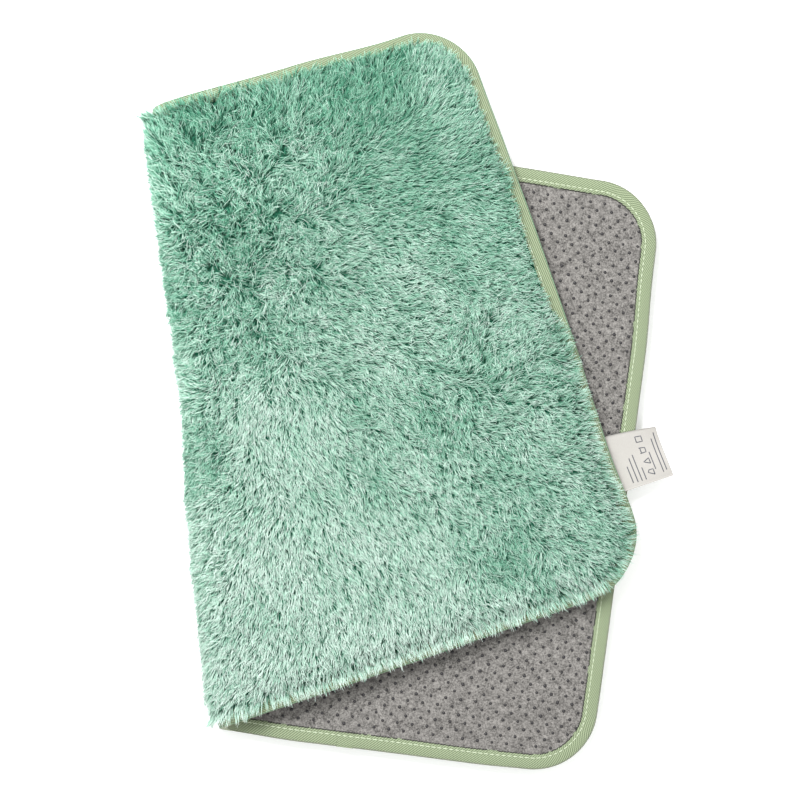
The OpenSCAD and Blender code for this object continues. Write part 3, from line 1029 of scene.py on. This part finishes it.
def clump_pull(u, v):
    """Flat vector from each lock to the tuft it leans into, one tuft in each cell or so."""
    cell = np.stack([np.floor(u / CLUMP_SIZE), np.floor(v / CLUMP_SIZE)], -1).astype(int)
    grid = random.uniform(0.15, 0.85, (200, 200, 2))
    best = np.full(len(u), np.inf)
    pull = np.zeros((len(u), 2))
    for i in (-1, 0, 1):
        for j in (-1, 0, 1):
            near = cell + (i, j)
            spot = (near + grid[near[:, 0] % 200, near[:, 1] % 200]) * CLUMP_SIZE
            to_spot = spot - np.stack([u, v], -1)
            far = np.hypot(to_spot[:, 0], to_spot[:, 1])
            nearer = far < best
            best[nearer] = far[nearer]
            pull[nearer] = to_spot[nearer]
    return pull


def outward(u, v):
    """Flat direction towards the nearest edge."""
    step = 0.5 * MM
    du = edge_distance(u - step, v) - edge_distance(u + step, v)
    dv = edge_distance(u, v - step) - edge_distance(u, v + step)
    return unit(np.stack([du, dv], -1))


def scatter(spacing, low_s, high_s, inset):
    """Jittered flat points with a spacing, between two distances across the fold."""
    u0, u1 = EDGE_U[-1], EDGE_U[1]
    u, v = np.meshgrid(np.arange(u0, u1, spacing), np.arange(-HALF_W, HALF_W, spacing * 0.87))
    u = u + (np.arange(u.shape[0])[:, None] % 2) * spacing / 2
    u = (u + random.uniform(-0.45, 0.45, u.shape) * spacing).ravel()
    v = (v + random.uniform(-0.45, 0.45, v.shape) * spacing).ravel()
    s = across_fold(u, v)
    keep = (edge_distance(u, v) > inset) & (s > low_s) & (s < high_s)
    keep &= edge_distance(u, v) > tape_showing(u, v) + 0.5 * MM
    return u[keep], v[keep]


def lean_at(u, v, facts):
    """The direction in which the pile lies, in the mat's surface, in space."""
    _, _, out = normals(u, v)
    s = across_fold(u, v)
    turned = smooth((s + BEND) / (2 * BEND))  # 0 on the flap, 1 on the lower half
    plan = np.stack([facts[:, 0], facts[:, 1], np.zeros(len(u))], -1)
    under = np.stack([0 * u - 0.6, 0.4 * np.sign(v), 0 * u], -1)
    plan = plan + (under - plan) * smooth((s - BEND) / (30 * MM))[:, None]
    plan = plan - UP * (0.15 + 1.2 * turned * (1 - turned))[:, None]
    flat = plan - (plan * out).sum(-1, keepdims=True) * out
    return unit(flat), out


def make_strands(u, v, length, pressed, width):
    """Strands in locks rooted at flat points: returns ring centres, ring radii and colours."""
    locks = len(u)
    facts = patch_values(u, v)
    rough = wave(np.stack([u, v], -1), 23 * MM, 2) * 0.5 + 0.5
    tousle = np.clip(facts[:, 2] * (0.5 + rough), 0.05, 1)
    lean, out = lean_at(u, v, facts)
    side = np.cross(out, lean)
    place = np.stack([u, v], -1)
    turn = random.normal(0, 1, locks) * (0.16 + 0.7 * tousle)
    turn += tousle * (1.6 * wave(place, 31 * MM, 11) + 1.4 * wave(place, 14 * MM, 15))
    lean = lean * np.cos(turn)[:, None] + side * np.sin(turn)[:, None]
    du, dv, _ = normals(u, v)
    out_flat = outward(u, v)
    out_space = du * out_flat[:, :1] + dv * out_flat[:, 1:]
    at_edge = smooth(1 - (edge_distance(u, v) - PILE_INSET) / EDGE_ROWS) * (across_fold(u, v) < BEND)
    at_edge *= smooth(1 - tape_showing(u, v) / BARE_TAPE)
    lean = unit(lean + out_space * (1.2 * at_edge)[:, None])
    side = np.cross(out, lean)
    steep = np.clip(facts[:, 4] * 0.9 + random.normal(0, 0.12, locks) + 0.15 * tousle, 0, 1)
    size = length * (1 + random.normal(0, 0.1, locks)) * (1 + 0.22 * tousle - 0.1 * steep)
    size *= 1 + EDGE_LONGER * at_edge
    steep *= 1 - 0.7 * at_edge

    k = STRANDS_PER_LOCK
    t = np.linspace(0, 1, RINGS)
    first = (0.62 - 0.42 * steep)[:, None]
    last = (1.38 - 0.62 * steep)[:, None]
    first = first + (0.55 - first) * pressed[:, None]
    last = last + (1.35 - last) * pressed[:, None]
    angle = first + (last - first) * t[None] ** 0.8
    step = size[:, None] / (RINGS - 1)
    towards = np.maximum((lean * out_space).sum(-1), 0)
    room = edge_distance(u, v) - tape_showing(u, v) + random.normal(0, 1.3, locks) * MM
    reach = (np.sin(angle) * step).sum(1) * towards + 1e-6
    stand = np.clip(room / reach, 0.12, 1)
    angle = angle * stand[:, None]
    mid = (angle[:, 1:] + angle[:, :-1]) / 2
    forward = np.concatenate([np.zeros((locks, 1)), np.cumsum(np.sin(mid) * step, 1)], 1)
    height = np.concatenate([np.zeros((locks, 1)), np.cumsum(np.cos(mid) * step, 1)], 1)
    curl = random.normal(0, 1, locks) * (0.5 + 3.5 * tousle) * MM
    sway = curl[:, None] * t[None] ** 2

    root = bend(u, v, BASE_T + under_height(u, v, facts) - 1.0 * MM)
    centre = (
        root[:, None]
        + forward[..., None] * lean[:, None]
        + height[..., None] * out[:, None]
        + sway[..., None] * side[:, None]
    )
    pull = (0.04 + 0.65 * tousle)[:, None] * clump_pull(u, v)
    pulled = du * pull[:, :1] + dv * pull[:, 1:]
    centre = centre + (t**1.6)[None, :, None] * pulled[:, None]
    spread = random.normal(0, 1, (locks, k, 2)) * LOCK_SPACING * 0.45
    tip = random.normal(0, 1, (locks, k, 3)) * np.array([1.0, 0.8, 0.8]) * MM
    gather = 1 - (0.25 + 0.5 * tousle)[:, None, None, None] * t[None, None, :, None] ** 1.2
    offset = (
        spread[..., 0, None, None] * gather * lean[:, None, None]
        + spread[..., 1, None, None] * gather * side[:, None, None]
    )
    bow = (t**1.5)[None, None, :, None]
    offset = offset + bow * (
        tip[..., 0, None, None] * lean[:, None, None]
        + tip[..., 1, None, None] * side[:, None, None] * (1 + 1.6 * tousle)[:, None, None, None]
        + tip[..., 2, None, None] * out[:, None, None]
    )
    reach = 1 - 0.1 * np.abs(random.normal(0, 1, (locks, k)))[..., None, None] * t[None, None, :, None]
    strands = root[:, None, None] + (centre[:, None] - root[:, None, None]) * reach + offset
    strands = strands.reshape(-1, RINGS, 3)

    # Painted light and shade: tone from the patches, slow waves and chance for each lock and fibre sets how
    # pale each fibre is, for sheen and shade; roots fade darker as painted shade
    tone = 0.7 * facts[:, 3] + 0.25 * wave(place, 45 * MM, 6) + 0.2 * wave(place, 19 * MM, 12)
    tone = tone + random.normal(0, 0.2, locks)
    shades = np.repeat(0.34 + 0.3 * tousle, k)
    tone = np.repeat(tone, k) + random.normal(0, 1, locks * k) * shades
    share = np.clip(tone * 0.5 + 0.52, 0, 1)[:, None]
    root_colour = ROOT_DARK + (ROOT_PALE - ROOT_DARK) * share
    tip_colour = np.where(
        share < 0.5,
        TIP_DARK + (TIP_MID - TIP_DARK) * share * 2,
        TIP_MID + (TIP_PALE - TIP_MID) * (share * 2 - 1),
    )
    # Painted shade: a share of fibres, larger where tousled, takes the dark shadow colour
    in_shade = random.random(len(tone)) < SHADOW_SHARE + SHADOW_SHARE_TOUSLED * np.repeat(tousle, k)
    tip_colour[in_shade] = SHADOW_TIP
    fade = smooth(t * 1.1)[None, :, None]
    colours = root_colour[:, None] + (tip_colour - root_colour)[:, None] * fade
    radius = width / 2 * np.array([0.9, 1.0, 0.35])
    radius = radius[None] * random.uniform(0.75, 1.2, (len(strands), 1))
    return strands, radius, colours, np.repeat(out, k, 0)


def add_pile(name, region, nodes, strands, radius, colours, out):
    """Splits a region's strands into pieces of at most STRANDS_PER_PIECE strands each.
    Makes a region's strands into pieces small enough to be kept whole.
    """
    order = np.arange(len(strands))
    pieces = max(math.ceil(len(strands) / STRANDS_PER_PIECE), 1)
    for k, part in enumerate(np.array_split(order, pieces)):
        points, faces = tube(strands[part], radius[part], SIDES, out[part])
        mesh = mesh_from_arrays(f"{name}_{k}", points, faces)
        add_colour(mesh, "fibre", np.repeat(colours[part].reshape(-1, 3), SIDES, 0))
        piece = link(f"{name}_{k + 1}", mesh, MATERIALS["pile"])
        set_moving(piece, region)
        if k == 0:
            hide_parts(*nodes)


def sort_by_row(u, v):
    """Orders points in bands along the mat, so that pieces are compact."""
    order = np.lexsort((v, np.floor(u / (40 * MM))))
    return u[order], v[order]


def make_under_pile(region):
    """The dense mass of fibres under the visible tips, as one soft closed piece."""
    u, v = region_grid(region, PILE_INSET, 4 * MM)
    facts = patch_values(u.ravel(), v.ravel()).reshape(*u.shape, -1)
    top = BASE_T + under_height(u, v, facts)
    mesh = mesh_from_arrays(f"{region}_under", *between(bend(u, v, BASE_T + 0.05 * MM), bend(u, v, top)))
    piece = link(f"{region}_plush_core", mesh, MATERIALS["under_pile"])
    set_moving(piece, region)
    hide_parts(node_of(region, "pile"))


def make_pile():
    bands = {
        "flap": (-1.0, -BEND, 1.0, 0.0),
        "fold_far": (-BEND, 0.0, 0.72, 0.0),
        "fold_near": (0.0, BEND, 0.8, 0.0),
        "lower": (BEND, 1.0, 2.2, 1.0),
    }
    for region, (low, high, spacing, squashed) in bands.items():
        u, v = sort_by_row(*scatter(LOCK_SPACING * spacing, low, high, PILE_INSET))
        s = across_fold(u, v)
        angle = np.clip((BEND - s) / NEUTRAL_R, 0, WRAP)
        pressed = np.clip(squashed + smooth(1 - angle / 1.1), 0, 1)
        width = STRAND_WIDTH * (1 + squashed)
        length = STRAND_LENGTH * (1 - 0.3 * squashed)
        strands, radius, colours, out = make_strands(u, v, length, pressed, width)
        strands[..., 2] = np.maximum(strands[..., 2], 0.5 * MM + radius)
        make_under_pile(region)
        add_pile(f"{region}_plush", region, [node_of(region, "pile")], strands, radius, colours, out)


make_pile()

# ---------------------------------------------------------------- tape overlap and label


def make_overlap():
    """The tape's end, folded under and laid over its start, on the lower half's edge."""
    u0 = FOLD_FROM_EDGE - OVERLAP_FROM_CORNER
    across = np.linspace(0, 1, 16)
    along = np.linspace(-0.5, 0.5, 14)
    inset = (TAPE_W + 0.2 * MM) * across - 0.1 * MM
    rise = overlap_rise(along)
    u = u0 + along[:, None] * OVERLAP_L + 0.6 * MM * (across[None] - 0.5)
    v = -HALF_W + inset[None] + 0 * u
    turn = 0.9 * MM * smooth(across * 5)[None]
    n = 0.1 * MM - turn - rise[:, None]
    mesh = mesh_from_arrays("overlap", *between(bend(u, v, n), bend(u, v, n + 0.45 * MM)))
    add_uv(mesh, np.tile(-u.ravel(), 2), np.tile(v.ravel() + MAT_W, 2))
    piece = link("binding_tape_overlap", mesh, MATERIALS["binding_tape"])
    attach(piece, "lower_half")
    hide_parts("binding_overlap")


LABEL_V = LABEL_FROM_CORNER - HALF_W
LABEL_ROOT = 6 * MM


def label_surface(out, v):
    """The label's middle surface: out is the distance beyond the flap's edge."""
    share = np.clip(out / LABEL_L, 0, 1)
    across = (v - LABEL_V) / LABEL_W
    sag = 0.35 * MM + 5.5 * MM * share**1.6 - 4.5 * MM * share**3 * (0.5 + across)
    roll = 1.6 * MM * share * np.sin(across * 2.0 * math.pi + 0.5)
    v = v - 4.8 * MM * share**1.3 * (0.55 + across)
    place = bend(EDGE_U[-1] - out, v, 0)
    edge = bend(np.full_like(out, EDGE_U[-1]), v, 0)
    off_edge = unit(bend(EDGE_U[-1] - 1 * MM, LABEL_V, 0) - bend(EDGE_U[-1], LABEL_V, 0))
    flat_out = np.maximum(out, 0)[..., None] * off_edge
    place = np.where(out[..., None] > 0, edge + flat_out, place)
    place[..., 2] -= np.where(out > 0, sag + roll, 0.35 * MM)
    return place


def make_label():
    out = np.linspace(-LABEL_ROOT, LABEL_L, 40)
    v = LABEL_V + np.linspace(-0.5, 0.5, 28) * LABEL_W
    out, v = np.meshgrid(out, v, indexing="ij")
    middle = label_surface(out, v)
    thick = 0.15 * MM * UP
    mesh = mesh_from_arrays("label", *between(middle + thick, middle - thick))
    piece = link("care_label_sheet", mesh, MATERIALS["label_satin"])
    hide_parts("care_label", "label_tab")
    start = Vector(bend(EDGE_U[-1] + 0.5 * MM, LABEL_V, 0))
    end = Vector(bend(EDGE_U[-1] - 4 * MM, LABEL_V, 0))
    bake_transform(piece)
    return piece


INK_HALF_WIDTH = 0.36 * MM
# Bars in place of lettering: distance beyond the mat's edge, and both ends along it, in mm
BARS = (
    (35.0, -15.0, 16.5), (32.3, -16.0, 12.0), (27.6, -12.0, 2.0),
    (18.4, -17.5, -8.0), (15.2, -17.5, 3.0), (12.0, -17.5, 1.0), (8.6, -17.0, -4.5),
)


def make_print():
    """Four generic care symbols in a row along the mat's edge, and plain bars for lettering."""
    marks = []
    size = 2.2 * MM
    out = 23.5 * MM
    pitch = 9.0 * MM

    def mark(k, *points):
        marks.append(np.array([(out + x * size, LABEL_V + (k - 1.5) * pitch + y * size) for x, y in points]))

    mark(3, (-1, -1), (1, -1), (1, 1), (-1, 1), (-1, -1))  # plain square
    mark(2, (-1, 1), (1, 0.8), (1, -0.8), (-1, -1))  # wash tub
    mark(2, (-0.6, 1), (-0.6, -1))
    mark(1, (1, -1), (-1, 0), (1, 1), (1, -1))  # triangle
    mark(0, (1, -1), (1, 1), (-0.4, 1), (-0.9, 0.2), (1, -1))  # iron
    for shift, low, high in BARS:
        marks.append(np.array([(shift * MM, LABEL_V + low * MM), (shift * MM, LABEL_V + high * MM)]))
    strips, faces, offset = [], [], 0
    for mark in marks:
        fine = []
        for a, b in zip(mark[:-1], mark[1:]):
            count = max(int(np.linalg.norm(b - a) / (1.2 * MM)), 1)
            fine += [a + (b - a) * k / count for k in range(count)]
        fine.append(mark[-1])
        fine = np.array(fine)
        direction = unit(np.gradient(fine, axis=0))
        side = np.stack([-direction[:, 1], direction[:, 0]], -1) * INK_HALF_WIDTH
        ring = []
        for shift, lift in ((1, 0.1), (1, 0.22), (-1, 0.22), (-1, 0.1)):
            p = fine + side * shift
            ring.append(label_surface(p[:, 0], p[:, 1]) + lift * MM * UP)
        block = np.stack(ring, 1)
        rows = len(block)
        strips.append(block.reshape(-1, 3))
        ends = np.array([[3, 2, 1, 0], [0, 1, 2, 3]])
        ends[1] += (rows - 1) * 4
        faces.append(np.concatenate([grid_faces(rows, 4, closed=True), ends]) + offset)
        offset += rows * 4
    mesh = mesh_from_arrays("label_print", np.concatenate(strips), [np.concatenate(faces)], True)
    piece = link("label_symbols", mesh, MATERIALS["label_ink"])
    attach(piece, "care_label")
    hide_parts("label_print")


def make_label_stitches():
    """A row of stitches that holds the label's root under the flap's edge tape."""
    count = 9
    v = LABEL_V + (np.arange(count) - (count - 1) / 2) * STITCH_PITCH
    t = np.linspace(-0.5, 0.5, 7)
    place = v[:, None] + t * STITCH_SHARE * STITCH_PITCH
    arch = 0.3 * MM * np.cos(t * math.pi) ** 0.6
    centres = bend(np.full_like(place, EDGE_U[-1] + 0.6 * LABEL_ROOT), place, -1.25 * MM - arch)
    points, faces = tube(centres, STITCH_SHAPE, 6, np.broadcast_to(UP, (count, 3)))
    mesh = mesh_from_arrays("label_stitches", points, faces)
    piece = link("label_root_stitches", mesh, MATERIALS["thread"])
    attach(piece, "flap")
    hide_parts("label_stitches")


make_overlap()
make_label()
make_print()
make_label_stitches()

# ---------------------------------------------------------------- sizes and finish

low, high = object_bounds()
